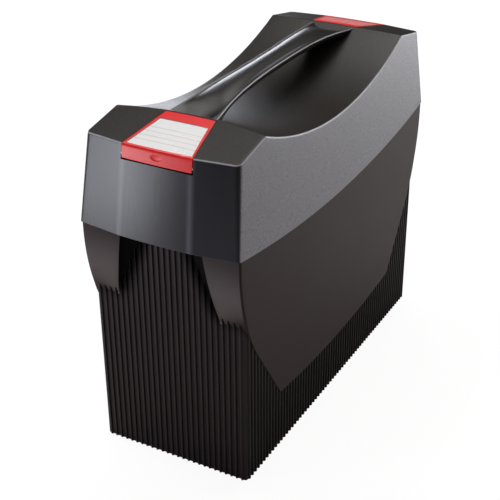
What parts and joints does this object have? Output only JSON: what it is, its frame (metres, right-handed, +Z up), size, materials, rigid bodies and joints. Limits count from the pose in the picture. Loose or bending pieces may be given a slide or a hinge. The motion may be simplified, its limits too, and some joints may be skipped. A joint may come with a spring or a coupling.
{
  "type": "portable file box",
  "caption": "Carry box for hanging files: ribbed body with finger grips at its ends, and a lift-off dished lid with a carrying handle and a hinged, labelled latch at each end.",
  "frame": {"origin": "centre of the base, on the floor", "axes": "+Z up, +X along the length; -X is the front end, the one nearer the camera, and -Y is the long side nearer the camera"},
  "size_m": [0.3896, 0.15, 0.315],
  "materials": {
    "box_plastic": "dark grey-brown, fine grain on the side panels",
    "rail_steel": "satin",
    "lid_plastic": "dark grey, fine grain on top and sides, smooth satin ends",
    "handle_plastic": "polished near black",
    "screw_steel": "zinc plated",
    "latch_plastic": "semi-gloss red",
    "pin_steel": "satin",
    "label_card": "white card with thin grey ruled lines",
    "label_card_red": "red card with thin paler ruled lines",
    "label_cover": "clear sheet"
  },
  "bodies": {
    "box": {"box_body": "box_plastic", "file_rail_front": "rail_steel", "file_rail_rear": "rail_steel"},
    "lid": {"lid_shell": "lid_plastic", "handle": "handle_plastic", "handle_screws": "screw_steel", "hinge_pin_front": "pin_steel", "hinge_pin_rear": "pin_steel"},
    "front_latch": {"latch_front": "latch_plastic", "label_card_front": "label_card", "label_cover_front": "label_cover"},
    "rear_latch": {"latch_rear": "latch_plastic", "label_card_rear": "label_card_red", "label_cover_rear": "label_cover"}
  },
  "joints": [
    {"name": "lid_lift", "type": "slide", "parent": "box", "child": "lid", "axis": [0, 0, 1], "range_m": [0, 0.08]},
    {"name": "latch_front_hinge", "type": "hinge", "parent": "lid", "child": "front_latch", "pos_m": [-0.18045, 0, 0.2878], "axis": [0, -1, 0], "range_deg": [0, 50]},
    {"name": "latch_rear_hinge", "type": "hinge", "parent": "lid", "child": "rear_latch", "pos_m": [0.18045, 0, 0.2878], "axis": [0, 1, 0], "range_deg": [0, 50]}
  ]
}
